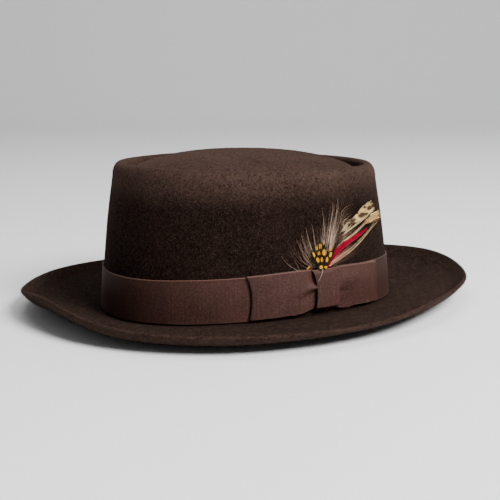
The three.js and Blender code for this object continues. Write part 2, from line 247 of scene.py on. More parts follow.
def ribbonFinish():
    look = {
        "base": (0.0225, 0.0074, 0.0054),
        "paleTone": (0.039, 0.0138, 0.01),
        "edge": (0.11, 0.052, 0.039),
        "shade": (0.015, 0.0082, 0.0052),
        "sheen": (0.12, 0.16, (0.8, 0.55, 0.45, 1.0)),
        "shadeFrom": 57.5,  # the band is darker behind the bow, to about shadeTo
        "shadeTo": 150.0, "ribPitch": 0.85, "threadPitch": 0.34, "roughness": 0.58,
        "relief": 0.09,
    }
    ribbon = Finish("ribbonFinish", look["roughness"], 0.18, look["sheen"])
    along, across, height = ribbon.marks("weave")

    def wave(value, pitch):
        return (value * (2 * math.pi / pitch)).maths("SINE") * 0.5 + 0.5

    rib, thread = wave(along, look["ribPitch"]), wave(across, look["threadPitch"])
    column = ribbon.noise(ribbon.stretched(ribbon.attribute("weave"), (1.5, 0.04, 0.0)), 1.0, 2.0)
    place = ribbon.millimetres()
    cloud = ribbon.noise(place, 0.05, 3.0)
    grain = ribbon.noise(place, 1.0, 3.0, 0.7)
    colour = ribbon.mix((cloud * 0.6 + grain * 0.4).above(0.5, 0.3), look["base"], look["paleTone"])
    lines = (grain * 0.72 + column * 0.28).above(0.54, 0.13) * 0.32 + rib * 0.14
    colour = ribbon.mix(lines, colour, look["edge"])
    # Painted shade: the band painted darker behind the bow's back loop, and its selvedge highlight fainter
    # there
    beyond = along.above(look["shadeFrom"], 2.0) * (1.0 - along.above(look["shadeTo"], 60.0))
    colour = ribbon.mix(beyond * 0.5, colour, look["shade"])
    # The selvedges painted paler along both edges: partly the ribbon's own colour, partly a painted highlight
    selvedgeHighlight = (across - height * 0.5).maths("ABSOLUTE") - height * 0.5 + 0.7
    colour = ribbon.mix(selvedgeHighlight.above(0.2, 0.3) * (0.75 - beyond * 0.45), colour, look["edge"])
    ribbon.feed("Roughness", look["roughness"] + grain * 0.16)
    ribbon.bump(rib * 0.7 + thread * 0.12 + grain * 0.35, 0.5, look["relief"])
    return ribbon.coloured(colour)


def hackleFinish():
    look = {
        "tones": [
            (0.0, (0.012, 0.006, 0.004)),
            (0.3, (0.06, 0.026, 0.018)),
            (0.6, (0.25, 0.15, 0.105)),
            (1.0, (0.76, 0.58, 0.43)),
        ],
        "tip": (0.12, 0.078, 0.045),
    }
    hackle = Finish("hackleFinish", 0.7, 0.15)
    tone, along, shift = hackle.marks("strand")
    colour = hackle.ramp((tone + shift * 0.25).clamped(), look["tones"])
    return hackle.coloured(hackle.mix(along.above(0.7, 0.6) * 0.6, colour, look["tip"]))


def barredFinish():
    look = {
        "bar": (0.012, 0.0055, 0.002),
        "tan": (0.24, 0.125, 0.034),
        "straw": (0.57, 0.4, 0.17),
        "lower": (0.33, 0.165, 0.045),
        "pale": (0.58, 0.44, 0.22),
        "lowerTo": 0.06,  # plain lower barbs have a tone under this, plain pale ones over paleFrom
        "paleFrom": 0.7,
    }
    barred = Finish("barredFinish", 0.7, 0.12)
    tone, dark, _ = barred.marks("strand")
    wander = barred.noise(barred.millimetres(), 0.5, 3.0, 0.6)
    upper = tone.above(look["lowerTo"], 0.02)
    plain = 1.0 - tone.above(look["paleFrom"], 0.1)
    mask = (dark + (wander - 0.5) * 1.5 + tone * 1.3).above(0.98, 0.24) * plain * upper
    light = barred.mix((wander * 0.6 + tone * 0.6).above(0.5, 0.22), look["tan"], look["straw"])
    light = barred.mix(1.0 - upper, light, look["lower"])
    light = barred.mix(tone.above(look["paleFrom"], 0.2), light, look["pale"])
    return barred.coloured(barred.mix(mask * 0.95, light, look["bar"]))


def creamFinish():
    look = {
        "tones": [
            (0.0, (0.03, 0.015, 0.008)),
            (0.4, (0.16, 0.08, 0.045)),
            (0.75, (0.45, 0.31, 0.15)),
            (1.0, (0.8, 0.61, 0.31)),
        ],
        "tip": (0.42, 0.22, 0.07),
        "tipFrom": 56.0,
    }
    cream = Finish("creamFinish", 0.6, 0.25)
    tone, along, _ = cream.marks("strand")
    atTip = along.above(look["tipFrom"], 10.0) * 0.45
    return cream.coloured(cream.mix(atTip, cream.ramp(tone, look["tones"]), look["tip"]))


def redFinish():
    look = {"dark": (0.085, 0.0001, 0.005), "light": (0.25, 0.0002, 0.015), "under": (0.5, 0.25, 0.2)}
    red = Finish("redFinish", 0.6, 0.03)
    tone, _, _ = red.marks("strand")
    streak = red.noise(red.stretched(red.attribute("strand"), (0.0, 0.15, 3.0)), 1.0, 3.0)
    colour = red.mix(streak.above(0.5, 0.4), look["dark"], look["light"])
    return red.coloured(red.mix(tone, colour, look["under"]))


def spottedFinish():
    look = {
        "yellow": (0.53, 0.27, 0.003),
        "amber": (0.46, 0.13, 0.008),
        "speck": (0.16, 0.065, 0.004),
        "ground": (0.0015, 0.001, 0.0006),
        "paler": (0.013, 0.008, 0.002),
    }
    spotted = Finish("spottedFinish", 0.6, 0.08)
    spot, warmth, _ = spotted.marks("strand")
    wander = spotted.noise(spotted.millimetres(), 1.2, 3.0)
    yellow = spotted.mix(warmth, look["yellow"], look["amber"])
    yellow = spotted.mix(wander.above(0.62, 0.2) * 0.5, yellow, look["speck"])
    ground = spotted.mix(wander.above(0.5, 0.2), look["ground"], look["paler"])
    return spotted.coloured(spotted.mix(spot.above(0.5, 0.35), ground, yellow))


finishes = {
    "felt": feltFinish(),
    "fuzz": fuzzFinish(),
    "ribbon": ribbonFinish(),
    "hackle": hackleFinish(),
    "barred": barredFinish(),
    "cream": creamFinish(),
    "red": redFinish(),
    "spotted": spottedFinish(),
}
print("finishes made")


# Mesh from points in millimetres, with the marks that its finish reads at each point
def meshPiece(name, points, faces, finish, marks, values):
    mesh = bpy.data.meshes.new(name)
    mesh.from_pydata((np.asarray(points) * mm).tolist(), [], faces)
    mesh.polygons.foreach_set("use_smooth", [True] * len(mesh.polygons))
    layer = mesh.attributes.new(marks, "FLOAT_VECTOR", "POINT")
    layer.data.foreach_set("vector", np.asarray(values, dtype=np.float32).ravel())
    mesh.materials.append(finishes[finish])
    mesh.validate()
    return addObject(name, mesh)


def carried(obj, slot, *nodes):
    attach(obj, "root")
    if nodes:
        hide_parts(*nodes)


# A table: its columns' names, then a row of values for each line
def table(columns, *rows):
    return [dict(zip(columns.split(), row)) for row in rows]


def tableValue(rows, column, place):
    return np.interp(place, [row["at"] for row in rows], [row[column] for row in rows])


# Felt cap. Angles run from the back (0) over the wearer's right side (90) to the front (180)
felt = {
    "headLength": 203.0, "headWidth": 170.0, "wall": 2.4, "pressed": 0.5,
    "sideLift": 5.0, "breakRadius": 1.1, "crownHeight": 98.4, "taper": 9.0,
    "rake": 6.3, "shoulderWidth": 5.7, "shoulderHeight": 9.3, "ridgeWidth": 3.8,
    "grooveWidth": 4.6, "grooveDepth": 7.5, "rimTurn": 135, "domeRise": 15.2,
    "domePower": 1.22, "brimHalfLength": 158.5, "brimHalfWidth": 140.3, "edgeRise": 15.0,
    "curlHeight": 5.0, "curlWidth": 9.5,
    "edgeTurns": (25, 50, 75, 105, 130, 155),
    "edgeBulge": 0.42, "unevenness": 0.35, "segments": 300, "seed": 7,
}
brimSections = table(
    "angle reach sweep curl",
    (0, 1.029, 0.80, 1.0),
    (30, 1.002, 0.53, 1.0),
    (60, 0.971, 0.35, 0.95),
    (90, 0.997, 0.13, 0.6),
    (120, 1.034, 0.16, 0.9),
    (150, 1.001, 0.39, 1.0),
    (180, 0.963, 0.98, 1.0),
)
outerHalf = felt["headLength"] / 2 + felt["wall"]
ovalDifference = (felt["headLength"] - felt["headWidth"]) / 2
outerHalfWidth = outerHalf - ovalDifference
ridgeHalf = outerHalf - felt["taper"] - felt["shoulderWidth"]
crownX = felt["brimHalfLength"] * (brimSections[-1]["reach"] - brimSections[0]["reach"]) / 2


def smoothStep(low, high, value):
    t = np.clip((value - low) / (high - low), 0.0, 1.0)
    return t * t * (3 - 2 * t)


def brimValue(column, angle):
    values = np.array([row[column] for row in brimSections])
    padded = np.concatenate([values[1:2], values, values[-2:-1]])
    step = math.radians(brimSections[1]["angle"])
    place = np.abs(np.arctan2(np.sin(angle), np.cos(angle))) / step
    index = np.minimum(place.astype(int), len(values) - 2)
    t = place - index
    before, start, end, after = (padded[index + k] for k in range(4))
    curve = (2 * t**3 - 3 * t**2 + 1) * start + (3 * t**2 - 2 * t**3) * end
    return curve + (t**3 - 2 * t**2 + t) * (end - before) / 2 + (t**3 - t**2) * (after - start) / 2


def oval(half, angle, height, halfWidth=None):
    halfWidth = half - ovalDifference if halfWidth is None else halfWidth
    columns = (crownX + half * np.cos(angle), halfWidth * np.sin(angle), height + 0 * angle)
    return np.stack(np.broadcast_arrays(*columns), axis=-1)


def breakTop(angle):
    return felt["wall"] - felt["pressed"] + felt["sideLift"] * np.sin(angle) ** 2


def rake(half, angle):
    return -felt["rake"] / 2 * half / ridgeHalf * np.cos(angle)


def wallTop(angle):
    start = felt["crownHeight"] - felt["shoulderHeight"]
    return start + rake(ridgeHalf + felt["shoulderWidth"], angle)


def wallHalf(angle, height):
    share = (height - breakTop(angle)) / (wallTop(angle) - breakTop(angle))
    return outerHalf - felt["taper"] * np.maximum(share, 0.0) ** 1.5


def wallPoint(angle, height, offset):
    return oval(wallHalf(angle, height) + offset, angle, height)


def crownRing(station, angle, wall):
    half, rise, facing, width = station
    inward = wall * math.cos(facing)
    height = felt["crownHeight"] + rise - wall * math.sin(facing) + rake(half, angle)
    return oval(half - inward, angle, height, half * width - inward)


# The crown's section from the top of its dome over groove and ridge to the wall
def crownStations(fineness):
    stations = []
    floorRise, floorDepth = -felt["grooveDepth"] * 0.56, felt["grooveDepth"] * 0.44
    floorHalf = felt["grooveWidth"] / 2
    floorMiddle = ridgeHalf - felt["ridgeWidth"] - floorHalf
    rimTurn = math.radians(felt["rimTurn"])
    rimHalf = floorMiddle + floorHalf * math.cos(rimTurn)
    rimRise = floorRise - floorDepth * math.sin(rimTurn)
    rimWidth = 1 - ovalDifference / rimHalf
    power, domeRise, shoulder = felt["domePower"], felt["domeRise"], felt["shoulderHeight"]
    for t in np.radians(np.linspace(88, 4, 18 * fineness)):
        slope = power * domeRise * math.cos(t) * math.sin(t) ** (power - 1) / (rimHalf * math.sin(t))
        rise = rimRise + domeRise * math.sin(t) ** power
        stations.append((rimHalf * math.cos(t), rise, math.atan2(1, slope), rimWidth))

    def arc(middle, width, base, height, start, end, count, side):
        for t in np.radians(np.linspace(start, end, count * fineness)):
            half = middle + width * math.cos(t)
            facing = math.pi - t if side < 0 else t
            stations.append((half, base + side * height * math.sin(t), facing, 1 - ovalDifference / half))

    arc(floorMiddle, floorHalf, floorRise, floorDepth, felt["rimTurn"], 0, 7, -1)
    arc(ridgeHalf, felt["ridgeWidth"], floorRise, -floorRise, 165, 90, 5, 1)
    arc(ridgeHalf, felt["shoulderWidth"], -shoulder, shoulder, 80, 0, 6, 1)
    return stations


def brimRise(share, angle, width):
    intoCurl = np.maximum(0.0, 1 - (1 - share) * width / felt["curlWidth"])
    sweep = felt["edgeRise"] * brimValue("sweep", angle) * share**1.7
    return sweep + felt["curlHeight"] * brimValue("curl", angle) * intoCurl**2


def brimRing(share, angle, wall, outward=0.0):
    reach = brimValue("reach", angle)
    inner = oval(outerHalf + felt["breakRadius"], angle, breakTop(angle))
    outer = inner.copy()
    outer[:, 0] = crownX + felt["brimHalfLength"] * reach * np.cos(angle)
    outer[:, 1] = felt["brimHalfWidth"] * reach * np.sin(angle)
    width = np.linalg.norm(outer - inner, axis=1)
    across = (outer - inner) / width[:, None]
    run = 0.5  # the slope is taken over this much of the brim
    before = brimRise(np.maximum(share - run / width, 0.0), angle, width)
    slope = np.arctan((brimRise(share, angle, width) - before) / run)
    ring = inner + (outer - inner) * share
    ring += across * (wall * np.sin(slope) + outward * np.cos(slope))[:, None]
    ring[:, 2] += brimRise(share, angle, width) + outward * np.sin(slope) - wall * np.cos(slope)
    if wall > 0:
        ring[:, 2] = np.maximum(ring[:, 2], 0.0)
    return ring


def breakRing(turn, angle, wall):
    t = math.radians(turn)
    radius = felt["breakRadius"] + wall
    height = breakTop(angle) + felt["breakRadius"] - radius * math.sin(t)
    half = outerHalf + felt["breakRadius"] - radius * math.cos(t)
    return oval(half, angle, np.maximum(height, 0.0))


# From the middle of the top down the outside, round the edge and up the inside
def feltRings():
    angle = np.linspace(0, 2 * math.pi, felt["segments"], endpoint=False)
    wall, rings = felt["wall"], []
    low = breakTop(angle) + felt["breakRadius"]

    def addWall(shares, offset):
        for share in shares:
            rings.append(wallPoint(angle, low + (wallTop(angle) - low) * share, offset))

    curlFrom = 0.8
    rings += [crownRing(station, angle, 0.0) for station in crownStations(2)]
    addWall(np.linspace(1, 0, 30)[1:], 0.0)
    rings += [breakRing(turn, angle, 0.0) for turn in (30, 60, 90)]
    rings += [brimRing(share, angle, 0.0) for share in np.linspace(0, curlFrom, 24)[1:]]
    rings += [brimRing(share, angle, 0.0) for share in np.linspace(curlFrom, 1, 12)[1:]]
    for turn in np.radians(felt["edgeTurns"]):
        depth = wall * (1 - math.cos(turn)) / 2
        rings.append(brimRing(1, angle, depth, felt["edgeBulge"] * wall * math.sin(turn)))
    rings += [brimRing(share, angle, wall) for share in np.linspace(1, curlFrom, 8)]
    rings += [brimRing(share, angle, wall) for share in np.linspace(curlFrom, 0, 16)[1:]]
    rings += [breakRing(turn, angle, wall) for turn in (70, 50, 30, 10)]
    addWall(np.linspace(0, 1, 14), -wall)
    rings += [crownRing(station, angle, wall) for station in reversed(crownStations(1)[:-1])]
    return rings


# Slow unevenness of hand-shaped felt, none under the ribbon and where the hat rests
def unevenFelt(points):
    noise.seed_set(felt["seed"])  # without it, vector noise differs from run to run
    moved = points.copy()
    size, ribbonTop, crownFade = 34.0, 44.0, 14.0
    brimFrom, brimTo = outerHalf + 8, outerHalf + 26
    for index, (x, y, z) in enumerate(points):
        reach = math.hypot(x - crownX, y * outerHalf / outerHalfWidth)
        onCrown = float(smoothStep(ribbonTop, ribbonTop + crownFade, z))
        onBrim = float(smoothStep(brimFrom, brimTo, reach)) * (1 - onCrown)
        push = noise.noise_vector(Vector((x, y, z)) / size) * felt["unevenness"]
        moved[index] += np.array(push) * (onCrown + onBrim)
    return moved


def ringFaces(rows, columns, closed=False):
    faces = []
    for i in range(rows if closed else rows - 1):
        a, b = i * columns, (i + 1) % rows * columns
        for j in range(columns):
            k = (j + 1) % columns
            faces.append((a + j, b + j, b + k, a + k))
    return faces


# Where the felt is painted paler: a painted highlight over the crown's top and in its groove's shade, by
# heights, and the brim's edge paler from wear and painted highlight, by shares of the brim's width
wear = {
    "top": (74, 97),
    "groove": (60, 75),
    "brimTop": (40, 50),
    "flat": (0.02, 0.2),
    "edge": (0.86, 1.0),
}


def wearAndLightOf(points):
    x, y, z = points[:, 0] - crownX, points[:, 1], points[:, 2]
    angle = np.arctan2(y / outerHalfWidth, x / outerHalf)
    reach = brimValue("reach", angle)
    inner = np.hypot(outerHalf * np.cos(angle), outerHalfWidth * np.sin(angle))
    outer = np.hypot(felt["brimHalfLength"] * np.cos(angle), felt["brimHalfWidth"] * np.sin(angle)) * reach
    share = (np.hypot(x, y) - inner) / (outer - inner)
    flat = smoothStep(*wear["flat"], share) * (1 - smoothStep(*wear["brimTop"], z))
    fromMiddle = np.hypot(x, y * ridgeHalf / (ridgeHalf - ovalDifference))
    inside = 1 - smoothStep(ridgeHalf - 4, ridgeHalf + 1, fromMiddle)
    # top: where the painted highlight lies, over the crown's top and in its groove
    top = np.maximum(smoothStep(*wear["top"], z), inside * smoothStep(*wear["groove"], z))
    return top, smoothStep(*wear["edge"], share), flat


def makeFelt():
    rings = feltRings()
    columns = felt["segments"]
    points = unevenFelt(np.concatenate(rings))
    faces = ringFaces(len(rings), columns)
    apex = points[:columns].mean(axis=0)
    under = points[-columns:].mean(axis=0)
    points = np.vstack([points, apex, under])
    last = (len(rings) - 1) * columns
    for j in range(columns):
        k = (j + 1) % columns
        faces.append((len(points) - 2, j, k))
        faces.append((len(points) - 1, last + k, last + j))
    piece = meshPiece("feltHat", points, faces, "felt", "wear", np.stack(wearAndLightOf(points), axis=1))
    carried(piece, "felt", "felt_body")
    return points


feltPoints = makeFelt()
print("felt made")


# Loose fibres that stand off the felt
fuzz = {
    "count": 150000,
    "length": (0.6, 2.4),
    "width": 0.13,
    "crownLift": (0.05, 0.5),
    "brimLift": (0.2, 1.0),
    "brimDensity": 1.2, "crownDark": 1.5, "brimDark": 0.4, "outerShare": 0.79,
    "lowest": 0.1, "seed": 11,
}


def unit(vectors):
    return vectors / (np.linalg.norm(vectors, axis=1)[:, None] + 1e-9)


def makeFuzz():
    rng = np.random.default_rng(fuzz["seed"])
    columns = felt["segments"]
    rows = (len(feltPoints) - 2) // columns
    grid = feltPoints[:-2].reshape(rows, columns, 3)
    outerRows = int(rows * fuzz["outerShare"])
    corners = grid[: outerRows - 1].reshape(-1, 3)
    down = grid[1:outerRows].reshape(-1, 3) - corners
    side = np.roll(grid[: outerRows - 1], -1, axis=1).reshape(-1, 3) - corners
    area = np.linalg.norm(np.cross(down, side), axis=1)
    weight = area * (1 + fuzz["brimDensity"] * wearAndLightOf(corners)[2])
    count = fuzz["count"]
    picks = rng.choice(len(area), count, p=weight / weight.sum())
    corners, down, side = corners[picks], down[picks], side[picks]
    normal = unit(np.cross(down, side))
    start = corners + down * rng.random((count, 1)) + side * rng.random((count, 1)) - normal * 0.05
    turn = rng.random((count, 1)) * 2 * math.pi
    lay = unit(down) * np.cos(turn) + unit(side) * np.sin(turn)
    length = rng.uniform(*fuzz["length"], (count, 1))
    onBrim = wearAndLightOf(corners)[2][:, None]
    lift = rng.uniform(*fuzz["crownLift"], (count, 1)) * (1 - onBrim)
    lift = lift + rng.uniform(*fuzz["brimLift"], (count, 1)) * onBrim
    tip = start + (lay + normal * lift) * length * 0.8
    across = unit(np.cross(normal, lay)) * fuzz["width"] / 2
    points = np.stack([start - across, start + across, tip], axis=1).reshape(-1, 3)
    points[:, 2] = np.maximum(points[:, 2], fuzz["lowest"])
    faces = np.arange(count * 3).reshape(-1, 3).tolist()
    tones = rng.random(count) ** (fuzz["crownDark"] + fuzz["brimDark"] * onBrim[:, 0])
    marks = np.stack([np.repeat(tones, 3), *wearAndLightOf(points)[:2]], axis=1)
    piece = meshPiece("feltFuzz", points, faces, "fuzz", "wear", marks)
    carried(piece, "felt")


makeFuzz()
print("fuzz made")


# Ribbon band
band = {
    "height": 28.1, "wall": 0.8, "fit": 0.3, "edgeWidth": 1.2,
    "edgeCurl": 0.16, "rounding": 0.22, "sway": 0.3, "segments": 420,
}
bandDrawn = table(  # how far its lower edge is drawn up under the bow, at each distance along it
    "at up",
    (-46, 0), (-30, 0.9), (-12, 3.4), (0, 3.4), (15, 1.9), (32, 1.2), (54, 0),
)
bandOuter = band["fit"] + band["wall"]
bandStart, bandEnd = -math.pi * 1.5, math.pi * 0.5


def bandBottom(angle):
    return breakTop(angle) + felt["breakRadius"]


def softNoise(values, scale, seed):
    return np.array([noise.noise(Vector((v / scale, seed, 0.3))) for v in values])


# Distance along the band from the middle of the hat's left side, positive to the back
scaleAngles = np.linspace(bandStart, bandEnd, 2001)
scaleRuns = np.hypot(
    (outerHalf + bandOuter) * np.sin(scaleAngles),
    (outerHalfWidth + bandOuter) * np.cos(scaleAngles),
)
scaleSteps = np.concatenate([[0], np.cumsum((scaleRuns[1:] + scaleRuns[:-1]) / 2 * np.diff(scaleAngles))])
scaleDistances = scaleSteps - np.interp(-math.pi / 2, scaleAngles, scaleSteps)


def angleAlong(distance):
    return np.interp(distance, scaleDistances, scaleAngles)


def makeBand():
    angle = np.linspace(bandStart, bandEnd, band["segments"], endpoint=False)
    along = np.interp(angle, scaleAngles, scaleDistances)
    nearEdges = np.array([0, 0.4, 0.9, 1.5])
    flat = np.linspace(3, band["height"] - 3, 9)
    heights = np.concatenate([nearEdges, flat, band["height"] - nearEdges[::-1]])
    wave = softNoise(along, 19.0, 1.7)
    drawn = tableValue(bandDrawn, "up", along)
    rings, weave = [], []
    for side in ("outer", "inner"):
        for h in heights if side == "outer" else heights[::-1]:
            nearEdge = max(0.0, 1 - min(h, band["height"] - h) / band["edgeWidth"])
            rounding = band["rounding"] if h in (0, band["height"]) else 0.0
            lift = band["edgeCurl"] * nearEdge * (1 + 1.4 * wave) if side == "outer" else 0.0
            offset = bandOuter + lift - rounding if side == "outer" else band["fit"] + rounding
            sway = band["sway"] * wave * (h / band["height"]) + 0.1 * softNoise(along, 6.0, 5.1)
            sway += drawn * (1 - h / band["height"])
            rings.append(wallPoint(angle, bandBottom(angle) + h + sway, offset))
            weave.append(np.stack([along, h + 0 * along, band["height"] + 0 * along], axis=1))
    faces = ringFaces(len(rings), band["segments"], closed=True)
    points, marks = np.concatenate(rings), np.concatenate(weave)
    piece = meshPiece("ribbonBand", points, faces, "ribbon", "weave", marks)
    carried(piece, "ribbon", "hat_band")


makeBand()
print("band made")


# A point over the band: distance along it, share of its height, distance off its outer face
def bandPoint(along, share, off):
    angle = angleAlong(along)
    return wallPoint(angle, bandBottom(angle) + band["height"] * share, bandOuter + off)


# Ribbon laid along a path of (along, off) for each height: a closed sheet of its own thickness
def ribbonSheet(name, node, along, off, share, thickness):
    dx, dy = np.gradient(along, axis=0), np.gradient(off, axis=0)
    size = np.hypot(dx, dy) + 1e-9
    nx, ny = -dy / size, dx / size
    rows, columns = along.shape
    steps = np.hypot(np.diff(along, axis=0), np.diff(off, axis=0))
    run = np.cumsum(np.concatenate([np.zeros((1, columns)), steps]), axis=0)
    across = (share - share[:, :1]) * band["height"]
    tall = np.repeat(across[:, -1:], columns, axis=1)
    points = []
    for side in (1, -1):
        x = along + nx * side * thickness / 2
        y = off + ny * side * thickness / 2
        points.append(bandPoint(x.ravel(), share.ravel(), y.ravel()))
    marks = np.stack([run.ravel(), across.ravel(), tall.ravel()], axis=1)
    half, last = rows * columns, columns - 1
    faces = []
    for i in range(rows - 1):
        for j in range(last):
            a, b = i * columns + j, (i + 1) * columns + j
            faces.append((a, b, b + 1, a + 1))
            faces.append((half + a, half + a + 1, half + b + 1, half + b))
        a, b = i * columns, (i + 1) * columns
        faces.append((a, half + a, half + b, b))
        faces.append((a + last, b + last, half + b + last, half + a + last))
    for a in range(last):
        b = (rows - 1) * columns + a
        faces.append((a, a + 1, half + a + 1, half + a))
        faces.append((b, half + b, half + b + 1, b + 1))
    piece = meshPiece(name, np.concatenate(points), faces, "ribbon", "weave", np.tile(marks, (2, 1)))
    carried(piece, "ribbon", node)


def noiseGrid(x, y, scale, seed):
    x, y = np.broadcast_arrays(x, y)
    flat = [noise.noise(Vector((a / scale, b / scale, seed))) for a, b in zip(x.ravel(), y.ravel())]
    return np.array(flat).reshape(x.shape)


def hump(value, middle, width):
    return np.exp(-(((value - middle) / width) ** 2))


# The ribbon dips beside the knot above and below one raised pleat: x from the knot, v up the ribbon
def frontPleats(x, v):
    rise, dip = 1.9, 1.75
    reach = 3.4 + 5.5 * hump(v, 0.38, 0.16)
    near = np.exp(-((np.maximum(x - 2.2, 0) / reach) ** 1.5))
    pleat = hump(v, 0.55, 0.07 + 0.006 * x)
    return near * (rise * pleat - dip * (1 - pleat) * np.clip(1.6 - np.abs(v - 0.5) * 1.2, 0, 1))


def backPleats(x, v):
    rise, dip, footDip = 1.8, 0.8, 1.5
    bulge = hump(v, 0.68, 0.2) * smoothStep(1.5, 9.0, x)
    valley = hump(v, 0.4, 0.07) * hump(x, 0.0, 12.0)
    return hump(x, 0.0, 24.0) * (rise * bulge - dip * valley - footDip * smoothStep(0.5, 0.08, v))


# Bow: loops from their folded end (0) to their end under the knot (1)
bow = {
    "knotShift": 3.5, "knotWidth": 17.6, "tuck": 2.6, "loopLength": 46.5,
    "foldRoom": 0.9, "ribbon": 0.55, "wrinkle": 0.2, "backOff": 0.3,
    "endBulge": 1.5, "rows": 56, "columns": 44,
}
frontLoop = {"direction": -1, "pleats": frontPleats, "bulge": 1.0, "corner": 1.6}
frontLoop["edges"] = table(
    "at low high puff",
    (0.0, 0.04, 1.02, 1.9),
    (0.39, 0.05, 1.04, 2.4),
    (0.71, 0.075, 1.05, 2.6),
    (0.9, 0.15, 1.04, 2.7),
    (1.0, 0.18, 1.0, 2.2),
)
backLoop = {"direction": 1, "pleats": backPleats, "bulge": 0.3, "corner": 0.9}
backLoop["edges"] = table(
    "at low high puff",
    (0.0, 0.045, 0.98, 1.9),
    (0.3, 0.055, 1.0, 2.3),
    (0.6, 0.065, 1.03, 2.8),
    (0.9, 0.08, 1.04, 3.3),
    (1.0, 0.12, 1.0, 3.0),
)


def makeLoop(name, node, loop):
    direction, wall = loop["direction"], bow["ribbon"]
    v = np.linspace(0, 1, bow["columns"])[None, :]
    front = np.linspace(1, 0, bow["rows"])[:, None]
    knotEnd = bow["knotShift"] + direction * (bow["knotWidth"] / 2 - bow["tuck"])
    low, high, puff = (tableValue(loop["edges"], key, front) for key in ("low", "high", "puff"))
    share = low + (high - low) * v
    x = (1 - front) * (bow["loopLength"] - bow["foldRoom"])
    y = (v - 0.5) * band["height"]
    puff = puff + loop["pleats"](x, v) + bow["wrinkle"] * noiseGrid(x, y, 10.0, direction * 3.0)
    inset = bow["endBulge"] * np.sin(math.pi * np.clip(v * 1.06 - 0.03, 0, 1)) ** 0.8
    atFold = (1 - front) ** 5
    along = knotEnd + direction * (x - inset * atFold * loop["bulge"] + loop["corner"] * atFold * v**5)
    backOff = bow["backOff"] + wall / 2
    frontOff = backOff + np.maximum(puff - wall, wall + 0.05)
    bend = np.linspace(0, math.pi, 9)[1:-1][:, None]  # the fold at the loop's end, then the layer behind
    radius = (frontOff[-1:] - backOff) / 2
    foldAlong = along[-1:] + direction * radius * np.sin(bend) * 0.9
    foldOff = backOff + radius + radius * np.cos(bend)
    behind = along[::-1][::2]
    share = np.concatenate([share, np.repeat(share[-1:], len(bend), axis=0), share[::-1][::2]])
    off = np.concatenate([frontOff, foldOff, np.full_like(behind, backOff)])
    along = np.concatenate([along, foldAlong, behind])
    ribbonSheet(name, node, along, off, share, wall)


makeLoop("bowLoopFront", "bow_loop_front", frontLoop)
makeLoop("bowLoopBack", "bow_loop_back", backLoop)

knot = {
    "low": 0.1, "high": 1.03, "middleOff": 4.7, "leftOff": 4.0,
    "rightOff": 4.15, "footOff": 0.6, "topTuck": 1.4, "footTuck": 0.75,
    "wrinkle": 0.18, "ribbon": 0.7, "rows": 36, "columns": 46,
}
knotEdges = table(
    "at left right",
    (0.0, -5.9, 11.9), (0.3, -4.6, 12.5), (0.55, -4.4, 12.6), (0.8, -5.4, 11.8), (1.0, -7.1, 10.7),
)


def makeKnot():
    u = np.linspace(0, 1, knot["rows"])[:, None]
    v = np.linspace(0, 1, knot["columns"])[None, :]
    left, right = tableValue(knotEdges, "left", v), tableValue(knotEdges, "right", v)
    along = left + (right - left) * u
    share = knot["low"] + (knot["high"] - knot["low"]) * v + 0 * u
    edge = knot["leftOff"] + (knot["rightOff"] - knot["leftOff"]) * u
    off = edge + (knot["middleOff"] - edge) * np.sin(math.pi * u) ** 0.7
    off = off + knot["wrinkle"] * noiseGrid((u - 0.5) * 18, (v - 0.5) * 26, 7.0, 9.0)
    atTop, atFoot = smoothStep(0.93, 1.0, v), 1 - smoothStep(0.0, 0.08, v)
    off = off - atTop * knot["topTuck"] - atFoot * (off - knot["footOff"]) * knot["footTuck"]
    ribbonSheet("bowKnot", "bow_knot", along, off, share, knot["ribbon"])


makeKnot()
print("bow made")


# Feather strands: thin strips over the wall, each point (along, over the band's top, off the wall)
class Strands:
    def __init__(self):
        self.points, self.faces, self.marks = [], [], []

    def add(self, path, widths, marks, twist=0.0):
        path = np.asarray(path, dtype=float)
        angle = angleAlong(path[:, 0])
        height = bandBottom(angle) + band["height"] + path[:, 1]
        spots = wallPoint(angle, height, path[:, 2])
        outward = np.stack([np.cos(angle), np.sin(angle), 0.12 + 0 * angle], axis=1)
        across = unit(np.cross(np.gradient(spots, axis=0), outward))
        across = across * math.cos(twist) + outward * math.sin(twist)
        start = len(self.points)
        for spot, side, width, mark in zip(spots, across, widths, marks):
            self.points += [spot - side * width / 2, spot + side * width / 2]
            self.marks += [mark, mark]
        for a in range(start, len(self.points) - 2, 2):
            self.faces.append((a, a + 1, a + 3, a + 2))

    def piece(self, name, finish, *nodes, marks="strand"):
        piece = meshPiece(name, self.points, self.faces, finish, marks, self.marks)
        carried(piece, finish, *nodes)


def curvePoint(stops, t):
    stops = np.asarray(stops, dtype=float)
    places = np.linspace(0, 1, len(stops))
    return np.stack([np.interp(t, places, stops[:, k]) for k in range(stops.shape[1])], axis=-1)


def smoothCurve(stops, count):
    curve = curvePoint(stops, np.linspace(0, 1, count))
    for _ in range(6):
        curve[1:-1] = (curve[:-2] + 2 * curve[1:-1] + curve[2:]) / 4
    return curve


def tapered(width, count, tip=0.3):
    return width * (1 - (1 - tip) * np.linspace(0, 1, count) ** 1.5)


def zeroToOne(value):
    return min(1.0, max(0.0, value))


